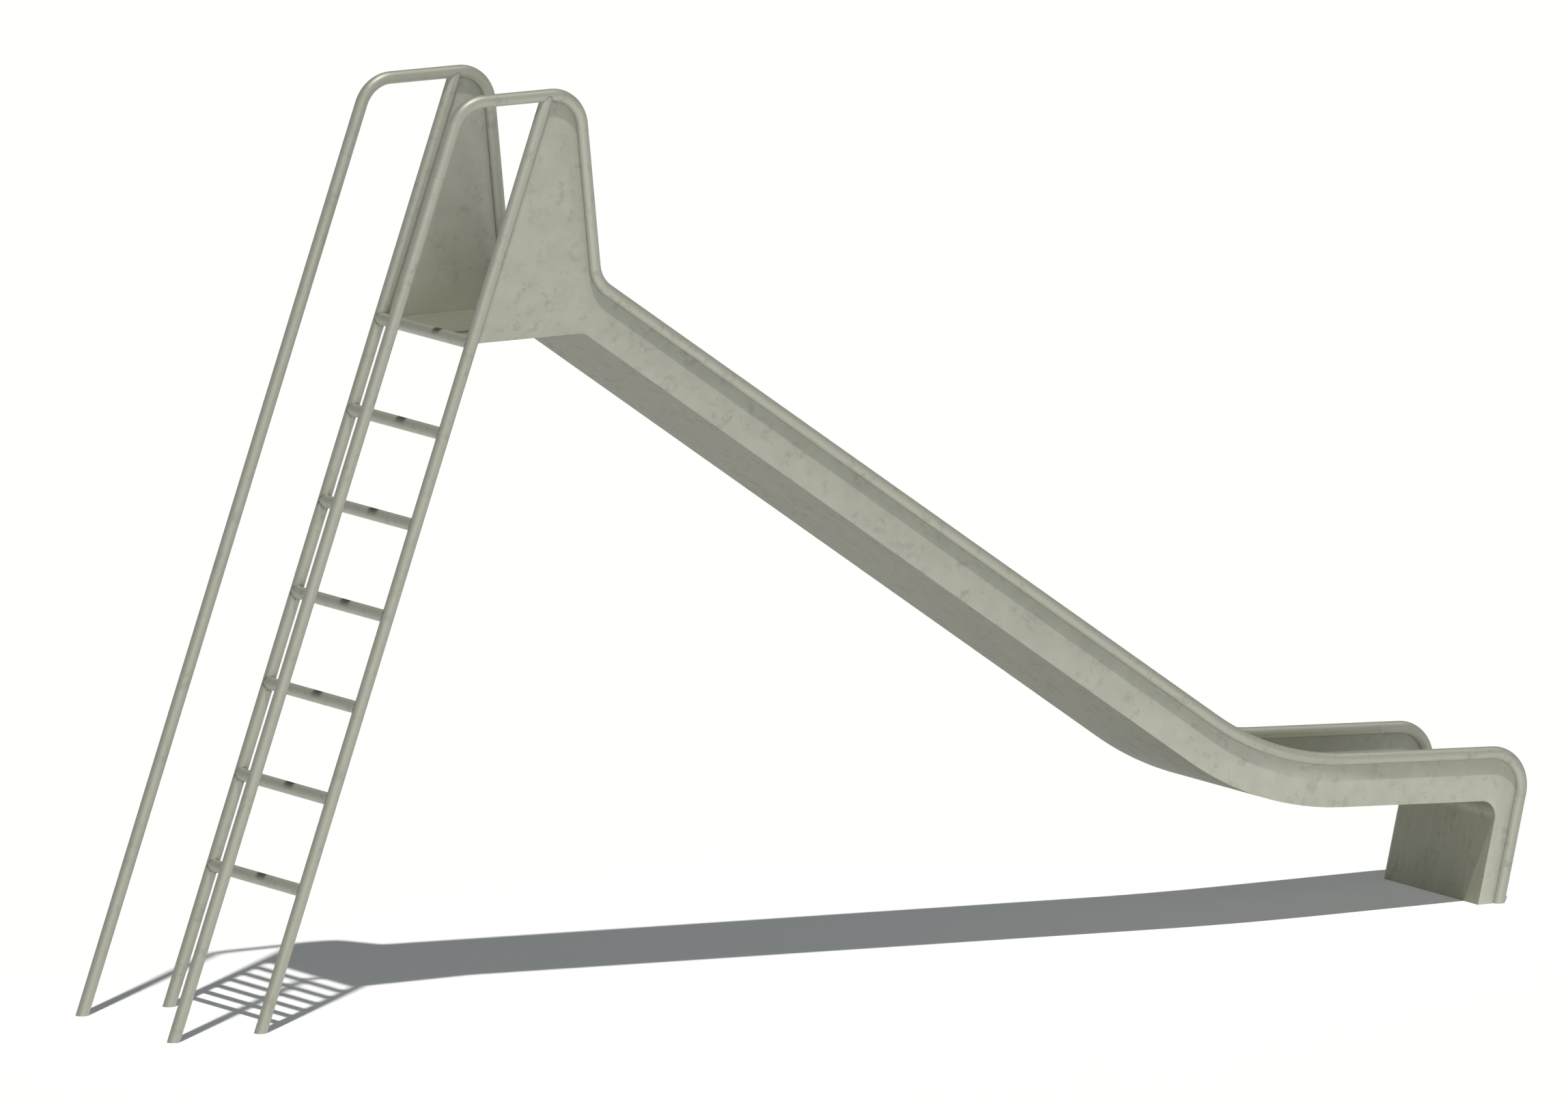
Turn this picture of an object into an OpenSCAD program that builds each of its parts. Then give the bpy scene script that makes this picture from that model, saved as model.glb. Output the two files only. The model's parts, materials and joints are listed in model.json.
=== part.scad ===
// Straight slide: a leaning ladder with handrails, a railed platform, a straight chute
// between cheek plates, and a run-out that ends in a leg. Welded stainless tube and sheet.
//
// The side profile is worked out as points [x, z] and headings in degrees: x runs down the
// slide from the ladder's foot, z is height above the ground, heading 0 is level towards +x
// and 90 is straight up. The left side is +Y, for a child who slides down.

/* [Overall] */
// Height of the platform floor above the ground
platform_h = 2265; // [1800:5:2900]
// Height of the handrail's top above the platform floor
guard_h = 835; // [700:5:1100]
// Distance across the slide between the rails' centres
slide_w = 600; // [450:10:1200]

/* [Ladder] */
// Lean of the ladder and handrails from upright, in degrees
ladder_lean = 20; // [12:1:28]
// Height from one rung to the next
rung_pitch = 300; // [200:5:310]
// Level distance from a handrail post to the ladder stringer beside it
handrail_gap = 338; // [250:1:450]
// Height from the joint in a handrail post up to the top rail's centre
joint_below_top = 246; // [160:2:600]

/* [Platform] */
// Level length of the platform, from the stringer's centre to the start of the chute
platform_len = 440; // [350:5:700]
// Level length of the top rail between the stringer's top and the guard tube, less the bend
top_run = 2; // [0:1:150]
// Level distance from the start of the chute to the lower corner of the guard tube
guard_back = 45; // [20:1:60]

/* [Chute] */
// Slope of the chute, in degrees
chute_slope = 35; // [28:0.5:40]
// Depth of the cheeks, from the rail's centre to the underside of the bed
cheek_depth = 165; // [130:5:200]
// Distance along the slope from a bend in the bed to the joint next to it
joint_run = 150; // [130:5:250]

/* [Run-out] */
// Height of the sliding surface above the ground at the nose
exit_h = 355; // [280:5:450]
// Level length of the run-out's underside, between the chute's line and the leg's line
runout_len = 954; // [800:2:1600]
// Fall of the run-out, in degrees
runout_slope = 3; // [1:0.5:6]
// Radius of the rail's centre line between chute and run-out
exit_bend_r = 1000; // [600:10:1200]
// Radius of the sliding surface over the nose
nose_r = 58; // [50:1:90]
// Lean of the leg from upright, in degrees
leg_lean = 13; // [5:1:20]
// Depth of the leg, from the rail's centre to the inner face of its plate
leg_depth = 80; // [60:2:120]

/* [Tube and sheet] */
// Outside diameter of the rails, posts and stringers
rail_od = 42.4; // [38:0.1:48.3]
// Wall of the rails, posts and stringers
rail_wall = 2; // [1.5:0.1:4]
// Outside diameter of the rungs
rung_od = 42.4; // [30:0.1:42.4]
// Wall of the rungs
rung_wall = 2; // [1.5:0.1:4]
// Radius of the rail's centre line in the hoop and over the nose
bend_r = 120; // [90:1:130]
// Thickness of the cheek plates
cheek_t = 4; // [3:0.5:6]
// Thickness of the floor, the beds and the leg plate
bed_t = 3; // [2:0.5:4]
// Radius of the surface where the platform floor folds into the chute
fold_r = 50; // [50:1:120]

/* [Joints] */
// Gap that a weld fills between two pieces
weld_gap = 0.2; // [0.1:0.1:0.5]
// Gap at the saddle cut where a stringer meets the top rail
saddle_gap = 0.4; // [0.4:0.1:0.8]
// Length of the sleeve inside each post joint
sleeve_len = 120; // [80:5:120]
// Wall of those sleeves
sleeve_wall = 3; // [2:0.5:5]
// Gap round a sleeve or cap inside its tube
inner_gap = 0.2; // [0.1:0.1:0.4]
// Thickness of the caps that close the tubes at the ground
cap_t = 4; // [3:1:8]

/* [Hidden] */
$fn = 48;
rung_count = 7;
chord_err = 0.05;   // how far a flat step of a plate's outline may stand off its true arc
tube_colour = [0.72, 0.72, 0.63];
sheet_colour = [0.66, 0.66, 0.57];
inner_colour = [0.55, 0.55, 0.52];

SIDES = [["left", 1], ["right", -1]];
RAIL_LENGTHS = ["handrail_bend", "top_rail", "guard_tube", "chute_rail", "exit_rail"];
SIDE_PIECES = concat(
    ["ladder_stringer", "handrail_post"], RAIL_LENGTHS,
    ["leg_tube", "guard_panel", "chute_cheek", "exit_cheek"]
);

// ---- Plane geometry ----

function unit(heading) = [cos(heading), sin(heading)];
function left_of(heading) = [-sin(heading), cos(heading)];
function heading(a, b) = atan2(b.y - a.y, b.x - a.x);
function shifted(p, heading, side) = p + side * left_of(heading);

// Where the line through a at one heading meets the line through b at another
function meet(a, a_heading, b, b_heading) =
    let (d = b - a, run = (d.x * sin(b_heading) - d.y * cos(b_heading)) / sin(b_heading - a_heading))
    a + run * unit(a_heading);

// A path is a list of points with one bend radius each; its two ends have radius 0
function turn_at(path, i) = heading(path[i], path[i + 1]) - heading(path[i - 1], path[i]);
function tangent_len(path, radii, i) = radii[i] * tan(abs(turn_at(path, i)) / 2);
function bend_start(path, radii, i) =
    radii[i] == 0 ? path[i]
    : path[i] - tangent_len(path, radii, i) * unit(heading(path[i - 1], path[i]));
function bend_end(path, radii, i) =
    radii[i] == 0 ? path[i]
    : path[i] + tangent_len(path, radii, i) * unit(heading(path[i], path[i + 1]));
function bend_centre(path, radii, i) =
    shifted(bend_start(path, radii, i), heading(path[i - 1], path[i]), sign(turn_at(path, i)) * radii[i]);
function first_angle(path, i) = heading(path[i - 1], path[i]) - 90 * sign(turn_at(path, i));

// The outline that runs beside a path, at a distance to the left of its heading
function bend_edge(path, radii, i, side) =
    let (
        r = radii[i] - sign(turn_at(path, i)) * side,
        steps = ceil(abs(turn_at(path, i)) / (2 * acos(1 - chord_err / r)))
    )
    [for (k = [0 : steps])
        bend_centre(path, radii, i) + r * unit(first_angle(path, i) + turn_at(path, i) * k / steps)];
function edge(path, radii, side) =
    let (last = len(path) - 1)
    concat(
        [shifted(path[0], heading(path[0], path[1]), side)],
        [for (i = [1 : last - 1]) each bend_edge(path, radii, i, side)],
        [shifted(path[last], heading(path[last - 1], path[last]), side)]
    );
function reversed(list) = [for (i = [len(list) - 1 : -1 : 0]) list[i]];
function sheet_outline(path, radii, thickness) =
    concat(edge(path, radii, 0), reversed(edge(path, radii, thickness)));

// ---- Headings and corners of the side profile ----

climb = 90 - ladder_lean;
chute = -chute_slope;
runout = -runout_slope;
leg = -90 - leg_lean;
rail_r = rail_od / 2;
rail_clear = rail_r + weld_gap;
floor_z = platform_h - bed_t;
top_z = platform_h + guard_h - rail_r;
below_ground = -100;   // depth from which the tubes are cut off level with the ground

// The bed's underside
ladder_foot = [0, 0];
floor_start = meet(ladder_foot, climb, [0, floor_z], 0);
chute_start = floor_start + [platform_len, 0];
chute_end_z = exit_h - bed_t + runout_len * tan(runout_slope);
chute_end = meet(chute_start, chute, [0, chute_end_z], 0);
nose = chute_end + runout_len * [1, -tan(runout_slope)];
leg_foot = meet(nose, leg, [0, 0], 0);

// The rail's centre line
post_foot = ladder_foot - [handrail_gap, 0];
post_top = meet(post_foot, climb, [0, top_z], 0);
stringer_top = meet(ladder_foot, climb, [0, top_z], 0);
guard_top = stringer_top + [bend_r + top_run, 0];
chute_rail_start = shifted(chute_start, chute, cheek_depth);
guard_foot = meet(chute_start + [guard_back, 0], 90, chute_rail_start, chute);
runout_rail_start = shifted(chute_end, runout, cheek_depth);
exit_corner = meet(chute_rail_start, chute, runout_rail_start, runout);
leg_rail_foot = shifted(leg_foot, leg, leg_depth);
nose_corner = meet(runout_rail_start, runout, leg_rail_foot, leg);

// The joint in each post, and the joints of the bed and cheeks at the chute's two ends
post_joint = meet(post_foot, climb, [0, top_z - joint_below_top], 0);
bed_bend_r = exit_bend_r + cheek_depth;
exit_tangent = bed_bend_r * tan((chute_slope - runout_slope) / 2);
upper_joint = chute_start + joint_run * unit(chute);
lower_joint = chute_end - (exit_tangent + joint_run) * unit(chute);

// Each length of the rail is a straight tube with the bend that follows it. The leg's tube is straight
// and starts at the end of the bend over the nose
rail_path = [post_joint, post_top, guard_top, guard_foot, exit_corner, nose_corner, leg_rail_foot];
rail_radii = [0, bend_r, bend_r, bend_r, exit_bend_r, bend_r, 0];
nose_bend = 5;

// The leg plate starts where the nose's bend ends
nose_inner_r = nose_r - bed_t;
nose_path = [lower_joint, chute_end, nose, leg_foot];
nose_radii = [0, bed_bend_r, nose_inner_r, 0];
leg_start = bend_end(nose_path, nose_radii, 2);

// The origin is under the middle of the object's box
x_low = post_foot.x - rail_r / cos(ladder_lean);
x_high = bend_centre(rail_path, rail_radii, nose_bend).x + bend_r + rail_r;
x_mid = (x_low + x_high) / 2;

// ---- Building blocks ----

module placed() translate([-x_mid, 0, 0]) children();
module on_side(side) placed() translate([0, side * slide_w / 2, 0]) children();

// A flat plate or a folded sheet, from its outline in the side profile
module upright_plate(width) rotate([90, 0, 0]) linear_extrude(width, center = true) children();

module tube_section(od, wall) {
    difference() {
        circle(d = od);
        circle(d = od - 2 * wall);
    }
}

// Stands its children on the point a, facing the point b: their z becomes the way ahead, and
// their x points to its right
module facing(a, b) translate([a.x, 0, a.y]) rotate([0, 90 - heading(a, b), 0]) children();

// One bend of a tube, from a section that looks ahead along z. A positive turn is to the left
module tube_bend(radius, turn) {
    flip = turn < 0 ? 180 : 0;
    translate([-sign(turn) * radius, 0, 0]) rotate([90, 0, flip])
        rotate_extrude(angle = abs(turn)) translate([radius, 0]) rotate(flip) children();
}

// The straight after point i of a path, with the bend that follows it
module straight_and_bend(path, radii, i) {
    a = bend_end(path, radii, i);
    b = bend_start(path, radii, i + 1);
    facing(a, b) {
        linear_extrude(norm(b - a)) children();
        translate([0, 0, norm(b - a)]) tube_bend(radii[i + 1], turn_at(path, i + 1)) children();
    }
}

module straight(a, b) facing(a, b) linear_extrude(norm(b - a)) children();

// Cuts its children off level with the ground
module cut_at_ground() {
    difference() {
        children();
        translate([x_low - rail_od, -rail_od, 2 * below_ground])
            cube([x_high - x_low + 2 * rail_od, 2 * rail_od, -2 * below_ground]);
    }
}

// ---- Tubes of one side ----

// The stringer is saddle-cut to the top rail, whose straight part covers it
module ladder_stringer() {
    foot = meet(ladder_foot, climb, [0, below_ground], 0);
    color(tube_colour) cut_at_ground() difference() {
        straight(foot, stringer_top) tube_section(rail_od, rail_wall);
        straight(post_top, guard_top) circle(d = rail_od + 2 * saddle_gap);
    }
}

module handrail_post() {
    foot = meet(post_foot, climb, [0, below_ground], 0);
    color(tube_colour) cut_at_ground() straight(foot, post_joint) tube_section(rail_od, rail_wall);
}

module rail_length(i) {
    color(tube_colour) straight_and_bend(rail_path, rail_radii, i) tube_section(rail_od, rail_wall);
}

module leg_tube() {
    start = bend_end(rail_path, rail_radii, nose_bend);
    end = meet(nose_corner, leg, [0, below_ground], 0);
    color(tube_colour) cut_at_ground() straight(start, end) tube_section(rail_od, rail_wall);
}

// ---- Cheek plates of one side, which fill the space between bed and rail ----

module guard_panel() {
    rail = [post_joint, post_top, guard_top, guard_foot, shifted(upper_joint, chute, cheek_depth)];
    rail_edge = reversed(edge(rail, [0, bend_r, bend_r, bend_r, 0], -rail_clear));
    stringer_edge = shifted(ladder_foot, climb, -rail_clear);
    far = guard_top - stringer_top + guard_top;
    color(sheet_colour) upright_plate(cheek_t) intersection() {
        polygon(concat([[post_foot.x, floor_z], chute_start, upper_joint], rail_edge));
        polygon([
            meet(stringer_edge, climb, [0, 0], 0),
            meet(stringer_edge, climb, far, 0),
            [2 * far.x, far.y],
            [2 * far.x, 0]
        ]);
    }
}

module chute_cheek() {
    color(sheet_colour) upright_plate(cheek_t) polygon([
        upper_joint,
        lower_joint,
        shifted(lower_joint, chute, cheek_depth - rail_clear),
        shifted(upper_joint, chute, cheek_depth - rail_clear)
    ]);
}

module exit_cheek() {
    rail = [shifted(lower_joint, chute, cheek_depth), exit_corner, nose_corner, leg_rail_foot];
    leg_edge = meet(shifted(leg_rail_foot, leg, -rail_clear), leg, [0, 0], 0);
    rail_edge = edge(rail, [0, exit_bend_r, bend_r, 0], -rail_clear);
    along_rail = [for (i = [0 : len(rail_edge) - 2]) rail_edge[i]];
    color(sheet_colour) upright_plate(cheek_t)
        polygon(concat(edge(nose_path, nose_radii, 0), [leg_edge], reversed(along_rail)));
}

// ---- Ladder rungs, floor, beds and leg plate ----

// Rods a weld's gap larger than the stringers, to cut what meets them
module stringer_rods() {
    for (side = SIDES)
        translate([0, side[1] * slide_w / 2, 0])
            straight(ladder_foot, stringer_top) circle(d = rail_od + 2 * weld_gap);
}

function rung_centre(n) =
    meet(ladder_foot, climb, [0, platform_h - (rung_count - n) * rung_pitch], 0);

module rung(n) {
    centre = rung_centre(n);
    color(tube_colour) placed() difference() {
        translate([centre.x, 0, centre.y]) rotate([90, 0, 0])
            linear_extrude(slide_w, center = true) tube_section(rung_od, rung_wall);
        stringer_rods();
    }
}

bed_w = slide_w - cheek_t - 2 * weld_gap;

module platform_floor() {
    start = [rung_centre(rung_count).x + rung_od / 2 + weld_gap, floor_z];
    color(sheet_colour) placed() difference() {
        upright_plate(bed_w)
            polygon(sheet_outline([start, chute_start, upper_joint], [0, fold_r - bed_t, 0], bed_t));
        stringer_rods();
    }
}

module chute_bed() {
    color(sheet_colour) placed() upright_plate(bed_w) polygon([
        upper_joint,
        lower_joint,
        shifted(lower_joint, chute, bed_t),
        shifted(upper_joint, chute, bed_t)
    ]);
}

module exit_bed() {
    path = [lower_joint, chute_end, nose, leg_start];
    color(sheet_colour) placed() upright_plate(bed_w) polygon(sheet_outline(path, nose_radii, bed_t));
}

// Its foot is cut level with the ground
module exit_leg_plate() {
    color(sheet_colour) placed() upright_plate(bed_w) polygon([
        leg_start,
        leg_foot,
        meet(shifted(leg_foot, leg, bed_t), leg, [0, 0], 0),
        shifted(leg_start, leg, bed_t)
    ]);
}

// ---- What is inside the tubes ----

inner_od = rail_od - 2 * rail_wall - 2 * inner_gap;

module post_joint_sleeves() {
    half = sleeve_len / 2 * unit(climb);
    color(inner_colour) for (side = SIDES)
        on_side(side[1]) straight(post_joint - half, post_joint + half) tube_section(inner_od, sleeve_wall);
}

// A cap fills the foot of a tube that leans at a heading, level with the ground
module foot_cap(foot, heading) {
    reach = rail_od * unit(heading);
    intersection() {
        straight(foot - reach, foot + reach) circle(d = inner_od);
        translate([foot.x - rail_od, -rail_od, 0]) cube([2 * rail_od, 2 * rail_od, cap_t]);
    }
}

module ladder_foot_caps() {
    color(inner_colour) for (side = SIDES, foot = [post_foot, ladder_foot])
        on_side(side[1]) foot_cap(foot, climb);
}

module leg_foot_caps() {
    foot = meet(leg_rail_foot, leg, [0, 0], 0);
    color(inner_colour) for (side = SIDES) on_side(side[1]) foot_cap(foot, leg);
}

// ---- The assembly ----

for (side = SIDES) {
    on_side(side[1]) ladder_stringer();
    on_side(side[1]) handrail_post();
    for (i = [0 : len(RAIL_LENGTHS) - 1])
        on_side(side[1]) rail_length(i);
    on_side(side[1]) leg_tube();
    on_side(side[1]) guard_panel();
    on_side(side[1]) chute_cheek();
    on_side(side[1]) exit_cheek();
}
for (n = [1 : rung_count])
    rung(n);
platform_floor();
chute_bed();
exit_bed();
exit_leg_plate();
post_joint_sleeves();
ladder_foot_caps();
leg_foot_caps();
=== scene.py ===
# %% [markdown]
# # A straight slide in stainless steel
#
# The slide is welded from round tube and flat sheet: a leaning ladder, a railed platform, a straight
# chute between two cheek plates, and a run-out that turns down into a leg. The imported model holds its
# sizes. This lesson makes the surfaces that are seen: smooth tubes, folded sheets, weld beads and a
# brushed, weathered finish.

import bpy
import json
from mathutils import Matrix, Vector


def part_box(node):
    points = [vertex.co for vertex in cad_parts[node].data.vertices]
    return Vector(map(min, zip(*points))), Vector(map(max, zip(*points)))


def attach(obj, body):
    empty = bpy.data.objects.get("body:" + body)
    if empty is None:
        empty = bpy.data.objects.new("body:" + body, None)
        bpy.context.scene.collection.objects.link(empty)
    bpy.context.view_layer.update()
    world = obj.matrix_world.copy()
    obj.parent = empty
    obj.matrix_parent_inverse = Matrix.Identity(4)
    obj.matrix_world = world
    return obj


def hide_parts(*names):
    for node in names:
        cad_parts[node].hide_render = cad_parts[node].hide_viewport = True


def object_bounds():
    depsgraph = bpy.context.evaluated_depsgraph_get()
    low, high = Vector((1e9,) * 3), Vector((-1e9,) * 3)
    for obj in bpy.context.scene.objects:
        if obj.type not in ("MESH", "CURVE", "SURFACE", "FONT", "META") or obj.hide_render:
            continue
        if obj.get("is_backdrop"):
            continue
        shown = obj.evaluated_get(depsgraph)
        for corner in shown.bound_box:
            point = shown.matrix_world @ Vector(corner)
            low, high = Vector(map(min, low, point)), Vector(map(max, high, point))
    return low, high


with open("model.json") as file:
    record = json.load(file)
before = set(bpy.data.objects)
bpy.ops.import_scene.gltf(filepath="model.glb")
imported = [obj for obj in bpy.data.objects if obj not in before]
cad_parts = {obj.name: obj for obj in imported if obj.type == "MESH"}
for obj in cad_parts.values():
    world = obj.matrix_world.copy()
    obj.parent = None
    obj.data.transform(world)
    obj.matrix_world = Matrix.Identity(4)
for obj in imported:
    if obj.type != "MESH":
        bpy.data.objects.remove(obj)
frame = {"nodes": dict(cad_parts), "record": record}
cad_low, cad_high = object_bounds()
print("the object is", [round(size, 3) for size in cad_high - cad_low], "metres")

# %% Tools
import json
import math

import bmesh
import bpy
from mathutils import Matrix, Vector

scene = bpy.context.scene
SIDES = {"left": 1, "right": -1}

# %% [markdown]
# ## The side profile
#
# Every tube and sheet of the slide follows one drawing of its side, so the drawing comes first. A
# point is (x, z) and a heading is an angle, 0 when it looks level down the slide. The feet, the
# floor's height, the tube's size and the sheets' widths come from the frame. The angles, the bend
# radii and a few lengths are named here.

# %% Sizes
LADDER_LEAN = math.radians(20)
CHUTE_SLOPE = math.radians(35)
RUNOUT_FALL = math.radians(3)
LEG_LEAN = math.radians(13)

CLIMB = math.pi / 2 - LADDER_LEAN
CHUTE = -CHUTE_SLOPE
RUNOUT = -RUNOUT_FALL
LEG = -math.pi / 2 - LEG_LEAN

TUBE_WALL = 0.002
BEND_R = 0.120          # hoop and nose, to the rail's centre line
EXIT_BEND_R = 1.000     # between chute and run-out, to the rail's centre line
NOSE_R = 0.058          # the sliding surface over the nose
FOLD_R = 0.050          # the surface where the platform folds into the chute
BED_T = 0.003
WELD_GAP = 0.0002
SADDLE_GAP = 0.0004     # between a stringer's saddle and the top rail

PLATFORM_LEN = 0.440
TOP_RUN = 0.002         # level part of the top rail past the stringer, before its bend
GUARD_BACK = 0.045      # from the start of the chute to the guard tube's lower corner
CHEEK_DEPTH = 0.165     # from the rail's centre to the underside of the bed
RUNOUT_LEN = 0.954
EXIT_H = 0.355
JOINT_BELOW_TOP = 0.246
JOINT_RUN = 0.150       # from a bend in the bed to the joint next to it

# %% Sizes from the frame
rail_low, rail_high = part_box("left_chute_rail")
RAIL_Y = (rail_low.y + rail_high.y) / 2
RAIL_R = (rail_high.y - rail_low.y) / 2
cheek_low, cheek_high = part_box("left_chute_cheek")
CHEEK_T = cheek_high.y - cheek_low.y
BED_HALF_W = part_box("chute_bed")[1].y
PLATFORM_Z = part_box("platform_floor")[1].z
TOP_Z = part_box("left_top_rail")[1].z - RAIL_R
print(f"tube {2000 * RAIL_R:.1f} mm, rails {2000 * RAIL_Y:.0f} mm apart, cheek {1000 * CHEEK_T:.1f} mm")

mount_at = {m["name"]: m["pos_m"] for m in frame["record"]["mounts"]}


def foot(name):
    """Where a tube meets the ground, as (x, z)"""
    return Vector((mount_at["left_" + name][0], 0))


post_foot, ladder_foot, leg_rail_foot = foot("handrail_foot"), foot("ladder_foot"), foot("leg_foot")
print("feet at x =", [round(p.x, 3) for p in (post_foot, ladder_foot, leg_rail_foot)])


# %% [markdown]
# Four small functions do the drawing: the way a heading points, a step to the left of it, the
# heading from one point to another, and where two lines cross.

# %% Plane geometry
def along(heading):
    return Vector((math.cos(heading), math.sin(heading)))


def shifted(point, heading, side):
    return point + side * Vector((-math.sin(heading), math.cos(heading)))


def heading_of(a, b):
    return math.atan2(b.y - a.y, b.x - a.x)


def meet(a, a_heading, b, b_heading):
    gap = Vector(b) - Vector(a)
    run = (gap.x * math.sin(b_heading) - gap.y * math.cos(b_heading)) / math.sin(b_heading - a_heading)
    return Vector(a) + run * along(a_heading)


def at_height(point, heading, z):
    return meet(point, heading, (0, z), 0)


# %% Corners of the bed's underside
floor_start = at_height(ladder_foot, CLIMB, PLATFORM_Z - BED_T)
chute_start = floor_start + Vector((PLATFORM_LEN, 0))
chute_end = at_height(chute_start, CHUTE, EXIT_H - BED_T + RUNOUT_LEN * math.tan(RUNOUT_FALL))
nose = chute_end + RUNOUT_LEN * Vector((1, -math.tan(RUNOUT_FALL)))
leg_foot = at_height(nose, LEG, 0)

# %% Corners of the rail's centre line
post_top = at_height(post_foot, CLIMB, TOP_Z)
post_joint = at_height(post_foot, CLIMB, TOP_Z - JOINT_BELOW_TOP)
stringer_top = at_height(ladder_foot, CLIMB, TOP_Z)
guard_top = stringer_top + Vector((BEND_R + TOP_RUN, 0))
chute_rail_start = shifted(chute_start, CHUTE, CHEEK_DEPTH)
guard_foot = meet(chute_start + Vector((GUARD_BACK, 0)), math.pi / 2, chute_rail_start, CHUTE)
runout_rail_start = shifted(chute_end, RUNOUT, CHEEK_DEPTH)
exit_corner = meet(chute_rail_start, CHUTE, runout_rail_start, RUNOUT)
nose_corner = meet(runout_rail_start, RUNOUT, leg_rail_foot, LEG)

RAIL_PATH = [post_joint, post_top, guard_top, guard_foot, exit_corner, nose_corner, leg_rail_foot]
RAIL_RADII = [0, BEND_R, BEND_R, BEND_R, EXIT_BEND_R, BEND_R, 0]

# %% Joints in the bed and cheeks
BED_BEND_R = EXIT_BEND_R + CHEEK_DEPTH
exit_tangent = BED_BEND_R * math.tan((CHUTE_SLOPE - RUNOUT_FALL) / 2)
upper_joint = chute_start + JOINT_RUN * along(CHUTE)
lower_joint = chute_end - (exit_tangent + JOINT_RUN) * along(CHUTE)
NOSE_INNER_R = NOSE_R - BED_T
leg_start = nose + NOSE_INNER_R * math.tan((LEG_LEAN + math.pi / 2 - RUNOUT_FALL) / 2) * along(LEG)
print(f"the chute is {(chute_end - chute_start).length:.2f} m long and starts {chute_start.y:.2f} m up")

# %% [markdown]
# ## Sweeping a section along a path
#
# A bent tube and a folded sheet are made alike: a section is pushed straight ahead, then turned round
# the centre of each bend. The same few lines do both. The section is drawn flat at the origin, stood
# across the start of the path, and then extruded, either straight or a few degrees at a time.
#
# Each vertex keeps a note called "lay": its place in the section, and how far along the path it is.
# The finish reads it, so that brushing follows a tube round its bends.

# %% Path helpers
BEND_STEP = math.radians(4)
LONG_BEND_STEP = math.radians(1)


def step_count(turn, radius):
    return math.ceil(abs(turn) / (LONG_BEND_STEP if radius > 2 * BEND_R else BEND_STEP))


def path_legs(path, radii):
    """Each straight of a path with the bend after it: (start, heading, length, radius, turn)"""
    legs, start = [], path[0]
    for before, corner, after, radius in zip(path, path[1:], path[2:], radii[1:]):
        come, go = heading_of(before, corner), heading_of(corner, after)
        tangent = radius * math.tan(abs(go - come) / 2)
        end = corner - tangent * along(come)
        legs.append((start, come, (end - start).length, radius, go - come))
        start = corner + tangent * along(go)
    last = heading_of(path[-2], path[-1])
    return legs + [(start, last, (path[-1] - start).length, 0, 0)]


rail_legs = path_legs(RAIL_PATH, RAIL_RADII)
print("the rail has", len(rail_legs), "straights, in metres:", [round(leg[2], 3) for leg in rail_legs])


# %% Extrude a ring of edges
def push(bm, ring, travel, move):
    """Extrudes a ring, lets move shift its new vertices, and notes how far they travelled"""
    lay = bm.verts.layers.float_vector["lay"]
    made = bmesh.ops.extrude_edge_only(bm, edges=ring)["geom"]
    verts = [g for g in made if isinstance(g, bmesh.types.BMVert)]
    fresh = set(verts)
    for vert in verts:
        vert[lay] = vert[lay] + Vector((0, 0, travel))
    move(verts)
    return [g for g in made if isinstance(g, bmesh.types.BMEdge) and fresh.issuperset(g.verts)]


def standing(point, heading, y):
    """Stands a flat section on a point: its x becomes +Y, its y the heading's left, its z ahead"""
    c, s = math.cos(heading), math.sin(heading)
    return Matrix(((0, -s, c, point.x), (1, 0, 0, y), (0, c, s, point.y), (0, 0, 0, 1)))


# %% Sweep a section
def new_section():
    bm = bmesh.new()
    bm.verts.layers.float_vector.new("lay")
    return bm


def sweep(bm, legs, y=0.0):
    """Sweeps the section in bm along the legs of a path, and returns its first and last rings"""
    lay = bm.verts.layers.float_vector["lay"]
    for vert in bm.verts:
        vert[lay] = vert.co
    bmesh.ops.transform(bm, verts=bm.verts, matrix=standing(legs[0][0], legs[0][1], y))
    first = ring = bm.edges[:]
    for start, heading, length, radius, turn in legs:
        ahead = along(heading)
        way = length * Vector((ahead.x, 0, ahead.y))
        if length:
            ring = push(bm, ring, length, lambda verts: bmesh.ops.translate(bm, verts=verts, vec=way))
        if turn:
            centre = shifted(start + length * ahead, heading, math.copysign(radius, turn))
            steps = step_count(turn, radius)
            part = Matrix.Rotation(-turn / steps, 3, "Y")
            for _ in range(steps):
                ring = push(bm, ring, radius * abs(turn) / steps, lambda verts: bmesh.ops.rotate(
                    bm, verts=verts, cent=(centre.x, y, centre.y), matrix=part))
    return first, ring


# %% [markdown]
# ## Finishing a piece
#
# A piece becomes an object at the origin, with its place in its mesh. It rides on the slide's one
# body, and it replaces the plain piece of the frame that it stands for. Each one prints how far its
# box is from the frame's, so a wrong size shows at once.

# %% Make a piece
SMOOTH_UP_TO = math.radians(30)
made_pieces = {}


def box_of(mesh):
    corners = [v.co for v in mesh.vertices]
    return [f([c[i] for c in corners]) for f in (min, max) for i in range(3)]


def make_piece(bm, name, nodes=(), flat=()):
    """Turns bm into an object. The faces in flat stay flat, and the others are smooth"""
    bmesh.ops.recalc_face_normals(bm, faces=bm.faces)
    for face in bm.faces:
        face.smooth = face not in flat
    mesh = bpy.data.meshes.new(name)
    bm.to_mesh(mesh)
    bm.free()
    mesh.set_sharp_from_angle(angle=SMOOTH_UP_TO)
    piece = bpy.data.objects.new(name, mesh)
    scene.collection.objects.link(piece)
    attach(piece, "root")
    if nodes:
        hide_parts(*nodes)
        wanted = [*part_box(nodes[0])[0], *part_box(nodes[0])[1]]
        off = max(abs(a - b) for a, b in zip(box_of(mesh), wanted))
        print(f"{name}: {len(mesh.polygons)} faces, box off by {1000 * off:.2f} mm")
    made_pieces[name] = piece
    return piece


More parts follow.
